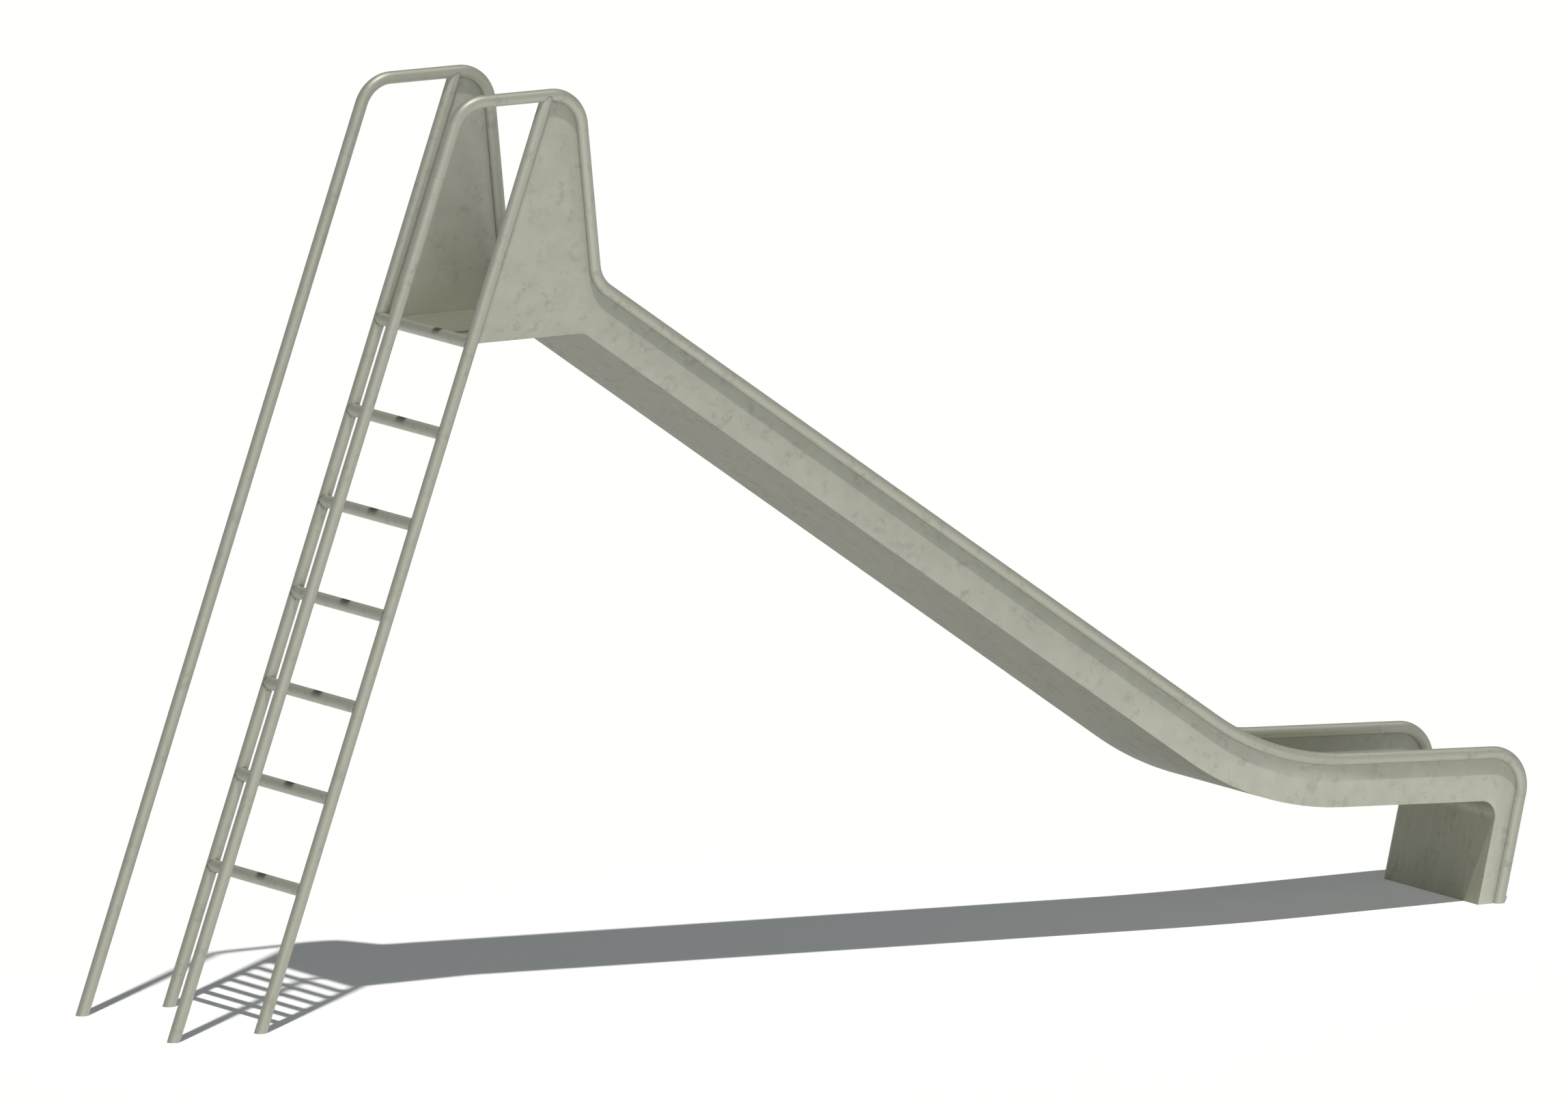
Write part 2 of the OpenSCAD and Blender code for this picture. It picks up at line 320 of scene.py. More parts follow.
# %% [markdown]
# ## Rails, posts and stringers
#
# All of them are one size of round tube with a thin wall. A swept pair of circles gives the outside
# and the bore, and a bridge between the circles at each end gives the wall's rim. The rail looks like
# one long bent tube, so its lengths here meet without a mark, apart from the joint in each handrail
# post.

# %% Tube section
TUBE_SIDES = 56


def tube_section(bm, radius=RAIL_R, wall=TUBE_WALL):
    for r in (radius, radius - wall):
        bmesh.ops.create_circle(bm, segments=TUBE_SIDES, radius=r)


def tube(legs, y):
    bm = new_section()
    tube_section(bm)
    return bm, *sweep(bm, legs, y)


# %% [markdown]
# A tube that stands on the ground is cut level with it. It is swept from below the ground, and
# bisect_plane takes the rest away.

# %% Cut a foot
BELOW_GROUND = -0.1


def cut_at_ground(bm):
    """Cuts away what is below the ground, and returns the edges of the cut"""
    cut = bmesh.ops.bisect_plane(
        bm, geom=bm.verts[:] + bm.edges[:] + bm.faces[:], plane_co=(0, 0, 0), plane_no=(0, 0, 1),
        clear_inner=True)["geom_cut"]
    return [g for g in cut if isinstance(g, bmesh.types.BMEdge)]


def foot_at_ground(bm):
    """Cuts a tube at the ground, and closes its wall there"""
    bmesh.ops.bridge_loops(bm, edges=cut_at_ground(bm))


def leg_from_ground(point, heading, end):
    """One straight leg that starts under the ground and climbs to end"""
    start = at_height(point, heading, BELOW_GROUND)
    return [(start, heading, (end - start).length, 0, 0)]


# %% [markdown]
# Two tubes at an angle meet in a saddle: the end of one is shaped to the round side of the other.
# Each vertex of the end moves along its own tube until it touches the other tube.

# %% Saddle an end
def seat(verts, way, centre, axis, radius):
    """Moves each vertex along way until it lies on the tube round centre and axis"""
    way, centre, axis = Vector(way), Vector(centre), Vector(axis).normalized()
    across = way - way.dot(axis) * axis
    for vert in verts:
        off = vert.co - centre
        off -= off.dot(axis) * axis
        a, b, c = across.dot(across), off.dot(across), off.dot(off) - radius * radius
        vert.co += (-b - math.sqrt(max(b * b - a * c, 0))) / a * way


def ends_of(ring):
    return list({vert for edge in ring for vert in edge.verts})


# %% [markdown]
# A fillet weld runs round each saddle. Four rings make it: one inside the tube, one on its side, one
# for the bead's crown, and one on the tube that it is welded to.

# %% Weld collar
WELD_LEG = 0.0018
CROWN = 0.7             # how far out the crown of a bead stands, as a share of its leg
BURIED = 0.0006         # how far a bead's hidden side lies inside the steel
COLLAR = ((-BURIED, 0), (0, WELD_LEG), (CROWN * WELD_LEG, CROWN * WELD_LEG), (WELD_LEG, 0))


def weld_collar(bm, place, way, radius, centre, axis, seat_r):
    """A bead round a tube of that radius, whose end is seated on another tube and no wider than it"""
    side = Vector(axis).cross(Vector(way)).normalized()
    rings = []
    for out, back in COLLAR:
        made = bmesh.ops.create_circle(bm, segments=TUBE_SIDES, radius=radius + out)["verts"]
        bmesh.ops.transform(bm, verts=made, matrix=place)
        for vert in made:
            stand = (vert.co - Vector(centre)).dot(side)
            vert.co += (max(-seat_r, min(seat_r, stand)) - stand) * side
        seat(made, way, centre, axis, seat_r)
        bmesh.ops.translate(bm, verts=made, vec=-back * Vector(way))
        rings.append(list({edge for vert in made for edge in vert.link_edges}))
    for ring, after in zip(rings, rings[1:] + rings[:1]):
        for face in bmesh.ops.bridge_loops(bm, edges=ring + after)["faces"]:
            face.material_index = 1


# %% Handrail posts
JOINT_BEVEL = 0.0009    # chamfer that makes the joint in a post show as a fine line


def chamfer_rim(bm, ring):
    """Breaks the outer edge of a tube's end"""
    centre = sum((v.co for v in ends_of(ring)), Vector()) / (2 * TUBE_SIDES)
    outer = [e for e in ring if all((v.co - centre).length > RAIL_R - TUBE_WALL / 2 for v in e.verts)]
    bmesh.ops.bevel(bm, geom=outer, offset=JOINT_BEVEL, affect="EDGES", segments=1, profile=0.5,
                    material=-1)


for side, sign in SIDES.items():
    bm, first, last = tube(leg_from_ground(post_foot, CLIMB, post_joint), sign * RAIL_Y)
    bmesh.ops.bridge_loops(bm, edges=last)
    chamfer_rim(bm, last)
    foot_at_ground(bm)
    make_piece(bm, f"{side}_handrail_post_tube", [f"{side}_handrail_post"])

# %% Rail lengths
RAILS = ["handrail_bend", "top_rail", "guard_tube", "chute_rail", "exit_rail"]

for side, sign in SIDES.items():
    for rail, leg in zip(RAILS, rail_legs):
        bm, first, last = tube([leg], sign * RAIL_Y)
        bmesh.ops.bridge_loops(bm, edges=first)
        bmesh.ops.bridge_loops(bm, edges=last)
        if rail == "handrail_bend":
            chamfer_rim(bm, first)
        make_piece(bm, f"{side}_{rail}_tube", [f"{side}_{rail}"])

# %% Leg tubes
leg_tube_start = rail_legs[-1][0]
leg_tube_end = at_height(leg_rail_foot, LEG, BELOW_GROUND)
leg_tube_leg = (leg_tube_start, LEG, (leg_tube_end - leg_tube_start).length, 0, 0)

for side, sign in SIDES.items():
    bm, first, last = tube([leg_tube_leg], sign * RAIL_Y)
    bmesh.ops.bridge_loops(bm, edges=first)
    foot_at_ground(bm)
    make_piece(bm, f"{side}_leg_tube_tube", [f"{side}_leg_tube"])

# %% Ladder stringers
climb_way = Vector((math.cos(CLIMB), 0, math.sin(CLIMB)))
climb_normal = Vector((-math.sin(CLIMB), 0, math.cos(CLIMB)))

for side, sign in SIDES.items():
    y = sign * RAIL_Y
    below_top = stringer_top - 2 * RAIL_R * along(CLIMB)
    top_centre = (stringer_top.x, y, TOP_Z)
    bm, first, last = tube(leg_from_ground(ladder_foot, CLIMB, below_top), y)
    seat(ends_of(last), climb_way, top_centre, (1, 0, 0), RAIL_R + SADDLE_GAP)
    bmesh.ops.bridge_loops(bm, edges=last)
    foot_at_ground(bm)
    weld_collar(bm, standing(below_top, CLIMB, y), climb_way, RAIL_R, top_centre, (1, 0, 0), RAIL_R)
    make_piece(bm, f"{side}_ladder_stringer_tube", [f"{side}_ladder_stringer"])

# %% [markdown]
# ## Rungs
#
# A rung is a straight tube across the ladder. Both of its ends are saddled to the stringers and
# welded all round. Its height comes from the frame.

# %% Rungs
RUNG_COUNT = len([name for name in frame["nodes"] if name.startswith("rung_")])


def across_ladder(point, sign):
    """Stands a section on the ladder's middle plane, looking out to one side"""
    turned = Matrix((climb_way, sign * climb_normal.cross(climb_way).cross(climb_way), (0, sign, 0)))
    return Matrix.Translation(point) @ turned.transposed().to_4x4()


for n in range(1, RUNG_COUNT + 1):
    low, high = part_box(f"rung_{n}")
    middle, rung_r = (low + high) / 2, (high.z - low.z) / 2
    bm = new_section()
    lay = bm.verts.layers.float_vector["lay"]
    tube_section(bm, rung_r)
    for vert in bm.verts:
        vert[lay] = vert.co
    bmesh.ops.transform(bm, verts=bm.verts, matrix=across_ladder(middle, 1))
    half = RAIL_Y - 2 * RAIL_R
    whole = Vector((0, 2 * half, 0))
    first = bm.edges[:]
    bmesh.ops.translate(bm, verts=bm.verts, vec=-whole / 2)
    last = push(bm, first, 2 * half, lambda verts: bmesh.ops.translate(bm, verts=verts, vec=whole))
    for ring, sign in ((first, -1), (last, 1)):
        stringer = middle + Vector((0, sign * RAIL_Y, 0))
        seat(ends_of(ring), (0, sign, 0), stringer, climb_way, RAIL_R + WELD_GAP)
        bmesh.ops.bridge_loops(bm, edges=ring)
        place = across_ladder(middle + Vector((0, sign * half, 0)), sign)
        weld_collar(bm, place, (0, sign, 0), rung_r, stringer, climb_way, RAIL_R)
    make_piece(bm, f"rung_{n}_tube", [f"rung_{n}"])

# %% [markdown]
# ## Cheek plates
#
# Each side's cheek is flat sheet that fills the space between the bed and the rail. Its outline is
# the profile again: the bed's underside along the bottom, and the rail's line, less the tube's radius,
# along the top. A plate is that outline as one face, pushed to its thickness, with its free edges
# broken. The edges where two plates butt stay sharp, because they are welded and ground flush.

# %% Edge of a path
def edge_beside(path, radii, side):
    """The outline beside a path, at a distance to the left of its heading"""
    points = []
    for start, heading, length, radius, turn in path_legs(path, radii):
        points.append(shifted(start, heading, side))
        if turn:
            hand = math.copysign(radius, turn)
            centre = shifted(start + length * along(heading), heading, hand)
            steps = step_count(turn, radius)
            points += [shifted(centre, heading + turn * k / steps, side - hand) for k in range(steps)]
    return points + [shifted(path[-1], heading_of(path[-2], path[-1]), side)]


# %% Make a plate
PLATE_BEVEL = 0.0006
ON_LINE = 1e-5


def on_joint(edge, joints):
    """Whether an edge lies in one of the butt joints, each a point of the profile and a heading"""
    ends = [Vector((v.co.x, v.co.z)) for v in edge.verts]
    return any(
        all(abs((end - point).dot(shifted(Vector((0, 0)), heading, 1))) < ON_LINE for end in ends)
        for point, heading in joints)


def plate(name, nodes, outline, y, joints):
    bm = new_section()
    bm.faces.new([bm.verts.new((p.x, y - CHEEK_T / 2, p.y)) for p in outline])
    bmesh.ops.remove_doubles(bm, verts=bm.verts, dist=ON_LINE)
    pushed = bmesh.ops.extrude_face_region(bm, geom=bm.faces[:], use_keep_orig=True)["geom"]
    bmesh.ops.translate(
        bm, verts=[g for g in pushed if isinstance(g, bmesh.types.BMVert)], vec=(0, CHEEK_T, 0))
    rims = [e for e in bm.edges if abs(e.verts[0].co.y - e.verts[1].co.y) < ON_LINE]
    free = [e for e in rims if not on_joint(e, joints)]
    bmesh.ops.bevel(bm, geom=free, offset=PLATE_BEVEL, affect="EDGES", segments=2, profile=0.5,
                    material=-1)
    top = max(p.y for p in outline)
    for vert in bm.verts:       # the bevel overshoots a sharp corner, which would reach into the rail
        vert.co.z = min(vert.co.z, top)
    flat = {f for f in bm.faces if len(f.verts) > 4 or abs(f.normal.y) > 0.999}
    return make_piece(bm, name, nodes, flat)


# %% Cheek outlines
RAIL_EDGE = -(RAIL_R + WELD_GAP)
CHUTE_ACROSS = CHUTE + math.pi / 2
upper_rail = shifted(upper_joint, CHUTE, CHEEK_DEPTH)
lower_rail = shifted(lower_joint, CHUTE, CHEEK_DEPTH)

chute_outline = [
    upper_joint, lower_joint,
    shifted(lower_rail, CHUTE, RAIL_EDGE), shifted(upper_rail, CHUTE, RAIL_EDGE),
]

# The guard's plate stops at the stringer, and under the straight of the top rail
stringer_side = shifted(ladder_foot, CLIMB, RAIL_EDGE)
guard_rail = edge_beside([stringer_top, guard_top, guard_foot, upper_rail],
                         [0, BEND_R, BEND_R, 0], RAIL_EDGE)
guard_outline = [
    at_height(stringer_side, CLIMB, floor_start.y), chute_start, upper_joint,
    *reversed(guard_rail[1:]), at_height(stringer_side, CLIMB, guard_rail[0].y),
]

under_path = [lower_joint, chute_end, nose, leg_foot]
UNDER_RADII = [0, BED_BEND_R, NOSE_INNER_R, 0]
exit_rail_edge = edge_beside([lower_rail, exit_corner, nose_corner, leg_rail_foot],
                             [0, EXIT_BEND_R, BEND_R, 0], RAIL_EDGE)
exit_outline = [
    *edge_beside(under_path, UNDER_RADII, 0),
    at_height(shifted(leg_rail_foot, LEG, RAIL_EDGE), LEG, 0), *reversed(exit_rail_edge[:-1]),
]

# %% Cheek plates
for side, sign in SIDES.items():
    y = sign * RAIL_Y
    upper, lower = (upper_joint, CHUTE_ACROSS), (lower_joint, CHUTE_ACROSS)
    plate(f"{side}_guard_panel_plate", [f"{side}_guard_panel"], guard_outline, y, [upper])
    plate(f"{side}_chute_cheek_plate", [f"{side}_chute_cheek"], chute_outline, y, [upper, lower])
    plate(f"{side}_exit_cheek_plate", [f"{side}_exit_cheek"], exit_outline, y, [lower])

# %% [markdown]
# ## Floor, beds and leg plate
#
# The platform's floor, the chute's bed, the run-out and the leg's plate are sheet, folded along
# straight lines across the slide. A flat rectangle, as wide as the bed and as high as the sheet is
# thick, is swept along the bed's underside.

# %% Bed section
def bed_section():
    bm = new_section()
    bmesh.ops.create_grid(bm, x_segments=1, y_segments=1, size=0.5)
    bmesh.ops.scale(bm, vec=(2 * BED_HALF_W, BED_T, 1), verts=bm.verts)
    bmesh.ops.translate(bm, vec=(0, BED_T / 2, 0), verts=bm.verts)
    bmesh.ops.delete(bm, geom=bm.faces[:], context="FACES_ONLY")
    return bm


def mark_underside(bm):
    """Gives the faces that lie on the path itself, which is the bed's underside, a second material: a
    duller finish, darkened further as painted shade
    """
    lay = bm.verts.layers.float_vector["lay"]
    for face in bm.faces:
        under = all(abs(vert[lay].y) < BED_T / 4 for vert in face.verts)
        face.material_index = 1 if under else 0


def bed(name, nodes, legs):
    bm = bed_section()
    for ring in sweep(bm, legs):
        bmesh.ops.contextual_create(bm, geom=ring)
    mark_underside(bm)
    return make_piece(bm, name, nodes)


# %% Folded sheets
rung_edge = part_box(f"rung_{RUNG_COUNT}")[1].x + WELD_GAP
floor_edge = Vector((rung_edge, floor_start.y))
floor_legs = path_legs([floor_edge, chute_start, upper_joint], [0, FOLD_R - BED_T, 0])
exit_legs = path_legs([lower_joint, chute_end, nose, leg_start], UNDER_RADII)

bed("platform_floor_sheet", ["platform_floor"], floor_legs)
bed("chute_bed_sheet", ["chute_bed"], [(upper_joint, CHUTE, (lower_joint - upper_joint).length, 0, 0)])
bed("exit_bed_sheet", ["exit_bed"], exit_legs[:-1])

# %% Leg plate
bm = bed_section()
leg_plate_end = at_height(leg_foot, LEG, BELOW_GROUND)
first, last = sweep(bm, [(leg_start, LEG, (leg_plate_end - leg_start).length, 0, 0)])
bmesh.ops.contextual_create(bm, geom=first)
bmesh.ops.contextual_create(bm, geom=cut_at_ground(bm))
mark_underside(bm)
make_piece(bm, "exit_leg_plate_sheet", ["exit_leg_plate"])

# %% [markdown]
# ## Weld beads
#
# Long beads join the cheeks to the rails and to the beds. A bead is a thin round rod, half sunk in
# the corner between the two pieces, swept along the same path as they are.

# %% Bead section
BEAD_R = 0.0016
BEAD_SIDES = 10


def bead_section(bm, u, v):
    made = bmesh.ops.create_circle(bm, segments=BEAD_SIDES, radius=BEAD_R)["verts"]
    bmesh.ops.translate(bm, verts=made, vec=(u, v, 0))


def beads(name, runs):
    """Beads along several runs, each a list of legs, the places of its beads, and the side's y"""
    whole = new_section()
    for legs, places, y in runs:
        bm = new_section()
        for u, v in places:
            bead_section(bm, u, v)
        for ring in sweep(bm, legs, y):
            bmesh.ops.holes_fill(bm, edges=ring)
        part = bpy.data.meshes.new("part")
        bm.to_mesh(part)
        bm.free()
        whole.from_mesh(part)
        bpy.data.meshes.remove(part)
    return make_piece(whole, name)


# %% Beads of each side
bead_u = CHEEK_T / 2 + BEAD_R / 2
bead_v = -math.sqrt(RAIL_R ** 2 - bead_u ** 2) - BEAD_R / 2
cheek_places = [(bead_u, bead_v), (-bead_u, bead_v)]
bed_bead_u = BED_HALF_W - BEAD_R / 2
ABOVE_GROUND = 0.003    # the beads stop short of the ground

leg_bead_end = at_height(leg_rail_foot, LEG, ABOVE_GROUND + BEAD_R)
bed_bead_end = at_height(nose, LEG, 2 * ABOVE_GROUND)
rail_bead_legs = path_legs(
    [stringer_top + Vector((RAIL_R, 0)), guard_top, guard_foot, exit_corner, nose_corner, leg_bead_end],
    [0, BEND_R, BEND_R, EXIT_BEND_R, BEND_R, 0])
panel_bead_start = at_height(ladder_foot, CLIMB, PLATFORM_Z)
panel_bead_end = stringer_top - 2 * RAIL_R * along(CLIMB)
panel_bead_legs = [(panel_bead_start, CLIMB, (panel_bead_end - panel_bead_start).length, 0, 0)]
bed_bead_legs = path_legs(
    [floor_start + Vector((2 * RAIL_R, 0)), chute_start, chute_end, nose, bed_bead_end],
    [0, FOLD_R - BED_T, BED_BEND_R, NOSE_INNER_R, 0])

for side, sign in SIDES.items():
    bed_places = [(sign * bed_bead_u, BED_T + BEAD_R / 2)]
    beads(f"{side}_weld_beads", [
        (rail_bead_legs, cheek_places, sign * RAIL_Y),
        (panel_bead_legs, cheek_places, sign * RAIL_Y),
        (bed_bead_legs, bed_places, 0),
    ])
print("pieces so far:", len(made_pieces))

# %% [markdown]
# ## Finishes
#
# The steel is plain stainless that has stood outdoors: a warm grey, neither polished nor painted.
# Fine brushing runs along the tubes and beds, cloudy darker marks lie over everything, edges wear a
# little brighter, and corners are darkened as painted shade. Each effect is a node group, so that every
# finish can use it with its own values.

# %% Node helpers
def node(tree, kind, inputs=None, **settings):
    """Adds a node. An input is a value, or another node's output socket"""
    made = tree.nodes.new(kind)
    for name, value in settings.items():
        setattr(made, name, value)
    for socket, value in (inputs or {}).items():
        if isinstance(value, bpy.types.NodeSocket):
            tree.links.new(value, made.inputs[socket])
        else:
            made.inputs[socket].default_value = value
    return made


def new_group(name, inputs, outputs):
    """An empty node group with its sockets: inputs are (name, kind, value), outputs are names"""
    group = bpy.data.node_groups.new(name, "ShaderNodeTree")
    for label, kind, value in inputs:
        made = group.interface.new_socket(label, in_out="INPUT", socket_type=kind)
        if value is not None:
            made.default_value = value
    for label in outputs:
        group.interface.new_socket(label, in_out="OUTPUT", socket_type="NodeSocketFloat")
    return group, node(group, "NodeGroupInput").outputs, node(group, "NodeGroupOutput").inputs


def scaled(tree, vector, scale):
    """A vector with each part multiplied"""
    return node(tree, "ShaderNodeVectorMath", {0: vector, 1: scale}, operation="MULTIPLY").outputs[0]


def remap(tree, value, low, high, to_low=0.0, to_high=1.0, smooth=True):
    kind = "SMOOTHSTEP" if smooth else "LINEAR"
    return node(tree, "ShaderNodeMapRange", {
        "Value": value, "From Min": low, "From Max": high, "To Min": to_low, "To Max": to_high,
    }, interpolation_type=kind).outputs["Result"]


def multiply(tree, a, b):
    return node(tree, "ShaderNodeMath", {0: a, 1: b}, operation="MULTIPLY").outputs[0]


# %% Cloudy marks
VECTOR, FLOAT = "NodeSocketVector", "NodeSocketFloat"

marks_group, given, out = new_group(
    "cloudy_marks", [("Vector", VECTOR, None), ("Per Metre", FLOAT, 16.0)], ["Marks", "Cloud"])
ragged = node(marks_group, "ShaderNodeTexNoise", {
    "Vector": given["Vector"], "Scale": given["Per Metre"], "Detail": 9.0, "Roughness": 0.74,
})
patches = node(marks_group, "ShaderNodeTexNoise", {
    "Vector": given["Vector"],
    "Scale": multiply(marks_group, given["Per Metre"], 0.3), "Detail": 2.0, "Roughness": 0.5,
})
ragged_mask = remap(marks_group, ragged.outputs["Fac"], 0.50, 0.60)
patch_mask = remap(marks_group, patches.outputs["Fac"], 0.44, 0.60)
marks_group.links.new(multiply(marks_group, ragged_mask, patch_mask), out["Marks"])
marks_group.links.new(patches.outputs["Fac"], out["Cloud"])
print("group", marks_group.name)

# %% [markdown]
# Brushing is noise that is stretched along the way the steel was ground. The width of a line and its
# length are inputs. The lay gives the coordinates, so the lines follow every bend.

# %% Brushed lines
BROAD = (0.09, 0.09, 0.09)      # how much coarser the broad streaks are than the fine lines

lines_group, given, out = new_group(
    "brushed_lines", [("Vector", VECTOR, None), ("Stretch", VECTOR, (900.0, 900.0, 12.0))],
    ["Lines", "Fade"])
fine = node(lines_group, "ShaderNodeTexNoise", {
    "Vector": scaled(lines_group, given["Vector"], given["Stretch"]),
    "Scale": 1.0, "Detail": 3.0, "Roughness": 0.6,
})
broad_vector = scaled(lines_group, given["Vector"], BROAD)
broad = node(lines_group, "ShaderNodeTexNoise", {
    "Vector": scaled(lines_group, broad_vector, given["Stretch"]),
    "Scale": 1.0, "Detail": 3.0, "Roughness": 0.55,
})
lines_group.links.new(fine.outputs["Fac"], out["Lines"])
lines_group.links.new(broad.outputs["Fac"], out["Fade"])

# %% [markdown]
# Hands and shoes keep the edges of the plates bright. The Bevel node rounds the surface's normal near an
# edge, so the angle between that normal and the true one is a mask of the edges. Where steel meets
# steel, ambient occlusion is low, and there the colour is darkened as painted shade.

# %% Edge wear and painted corner shade
edge_wear_and_corner_shade_group, given, out = new_group(
    "edges_and_corners", [("Edge Radius", FLOAT, 0.0015), ("Corner Reach", FLOAT, 0.006)],
    ["Edge", "Corner"])
rounded = node(edge_wear_and_corner_shade_group, "ShaderNodeBevel", {"Radius": given["Edge Radius"]}, samples=4)
true_normal = node(edge_wear_and_corner_shade_group, "ShaderNodeNewGeometry").outputs["Normal"]
likeness = node(edge_wear_and_corner_shade_group, "ShaderNodeVectorMath", {0: rounded.outputs["Normal"], 1: true_normal},
                operation="DOT_PRODUCT").outputs["Value"]
edge_wear_and_corner_shade_group.links.new(remap(edge_wear_and_corner_shade_group, likeness, 0.98, 0.75), out["Edge"])
# The corner mask is ambient occlusion, used as painted shade
open_sky = node(edge_wear_and_corner_shade_group, "ShaderNodeAmbientOcclusion", {"Distance": given["Corner Reach"]},
                samples=4).outputs["AO"]
edge_wear_and_corner_shade_group.links.new(remap(edge_wear_and_corner_shade_group, open_sky, 0.85, 0.35), out["Corner"])


# %% [markdown]
# One function makes every steel finish. The base colour is darkened by the marks and, as painted shade,
# where ambient occlusion finds a corner, and it is lightened at the edges. Roughness follows the marks
# and the brushing, and the brushing also gives a very fine bump. The steel isn't fully metallic, because
# a film of oxide dulls it. A finish can be given a lighter colour low down, which is painted light for
# the light the floor sends back and stands for no real change in the steel.

# %% Steel finish
def mix(tree, factor, a, b):
    """Mixes two colours, which are inputs 6 and 7 of the node"""
    made = node(tree, "ShaderNodeMix", {0: factor, 6: a, 7: b}, data_type="RGBA")
    return made.outputs[2]


def new_material(name):
    """A material with its node tree and its shader"""
    material = bpy.data.materials.new(name)
    material.use_nodes = True
    return material, material.node_tree, material.node_tree.nodes["Principled BSDF"]


MID_NOISE = (0.3, 0.7)          # where most of a noise's values lie
STREAKS, MARKS, EDGES, PAINTED_CORNER_SHADE = 0.36, 0.85, 0.6, 0.2     # how strongly each shows in the colour; the last is painted shade in corners
CORNER_SHADE_TONE = 0.45              # painted corner shade, as a share of the marked colour
MARKS_ROUGHEN, LINES_ROUGHEN = 0.07, 0.05


def steel(name, base, marked, bright, vector_from, stretch, rough, metallic, bump, per_metre=34.0,
          painted_bounce_gain=1.0, low_z=(0.29, 0.36)):
    """Brushed steel. Below the first height in low_z its colour is the bounce gain times as light, which
    is painted bounce light from the floor
    """
    material, tree, shader = new_material(name)
    place = node(tree, "ShaderNodeTexCoord").outputs["Object"]
    brushed_along = place
    if vector_from == "lay":
        brushed_along = node(tree, "ShaderNodeAttribute", attribute_name="lay").outputs["Vector"]
    marks = node(tree, "ShaderNodeGroup", {"Vector": place, "Per Metre": per_metre},
                 node_tree=marks_group).outputs
    lines = node(tree, "ShaderNodeGroup", {"Vector": brushed_along, "Stretch": stretch},
                 node_tree=lines_group).outputs
    wear_and_shade = node(tree, "ShaderNodeGroup", node_tree=edge_wear_and_corner_shade_group).outputs

    streaks = remap(tree, lines["Fade"], *MID_NOISE, 0.0, STREAKS)
    streaked = mix(tree, streaks, (*base, 1), (*marked, 1))
    clouded = mix(tree, multiply(tree, marks["Marks"], MARKS), streaked, (*marked, 1))
    worn = mix(tree, multiply(tree, wear_and_shade["Edge"], EDGES), clouded, (*bright, 1))
    # Painted shade: the colour is darker where ambient occlusion finds a corner
    dark = tuple(CORNER_SHADE_TONE * c for c in marked)
    colour = mix(tree, multiply(tree, wear_and_shade["Corner"], PAINTED_CORNER_SHADE), worn, (*dark, 1))
    # Painted bounce light: lighter low down, where the floor sends light back
    if painted_bounce_gain != 1:
        height = node(tree, "ShaderNodeSeparateXYZ", {"Vector": place}).outputs["Z"]
        gain = remap(tree, height, *low_z, painted_bounce_gain, 1.0)
        lifted = node(tree, "ShaderNodeVectorMath", {0: colour, "Scale": gain}, operation="SCALE")
        colour = lifted.outputs[0]
    tree.links.new(colour, shader.inputs["Base Color"])

    by_marks = remap(tree, marks["Marks"], 0, 1, rough, rough + MARKS_ROUGHEN, smooth=False)
    by_lines = remap(tree, lines["Lines"], *MID_NOISE, -LINES_ROUGHEN, LINES_ROUGHEN, smooth=False)
    roughness = node(tree, "ShaderNodeMath", {0: by_marks, 1: by_lines}, operation="ADD", use_clamp=True)
    tree.links.new(roughness.outputs[0], shader.inputs["Roughness"])
    shader.inputs["Metallic"].default_value = metallic
    relief = node(tree, "ShaderNodeBump", {
        "Height": lines["Lines"], "Strength": bump, "Distance": 0.0004,
    })
    tree.links.new(relief.outputs["Normal"], shader.inputs["Normal"])
    return material


# %% Tube, sheet and bed finishes
tube_steel = steel(
    "tube_steel", base=(0.40, 0.40, 0.34), marked=(0.32, 0.32, 0.273), bright=(0.57, 0.57, 0.50),
    vector_from="lay", stretch=(700.0, 700.0, 9.0), rough=0.53, metallic=0.45, bump=0.06)
# The cheeks are lighter low down, as painted bounce light from the floor
cheek_steel = steel(
    "cheek_steel", base=(0.392, 0.392, 0.332), marked=(0.305, 0.305, 0.26), bright=(0.52, 0.52, 0.46),
    vector_from="object", stretch=(160.0, 160.0, 160.0), rough=0.50, metallic=0.35, bump=0.04,
    painted_bounce_gain=1.14, low_z=(0.50, 1.20))
bed_steel = steel(
    "bed_steel", base=(0.60, 0.60, 0.51), marked=(0.48, 0.48, 0.41), bright=(0.68, 0.68, 0.62),
    vector_from="lay", stretch=(420.0, 420.0, 5.0), rough=0.36, metallic=0.85, bump=0.10)
# The underside is much darker than the bed's top: partly a duller, unpolished finish, mostly painted
# shade of faces turned from the light. It is lighter low down as painted bounce light
underside_shaded_steel = steel(
    "underside_shaded_steel", base=(0.175, 0.175, 0.133), marked=(0.138, 0.138, 0.106), bright=(0.30, 0.30, 0.25),
    vector_from="lay", stretch=(300.0, 300.0, 14.0), rough=0.55, metallic=0.30, bump=0.04, painted_bounce_gain=1.9)

# %% [markdown]
# A weld is rougher than the sheet, rippled across its run by the welder's steps, and tinted by heat.

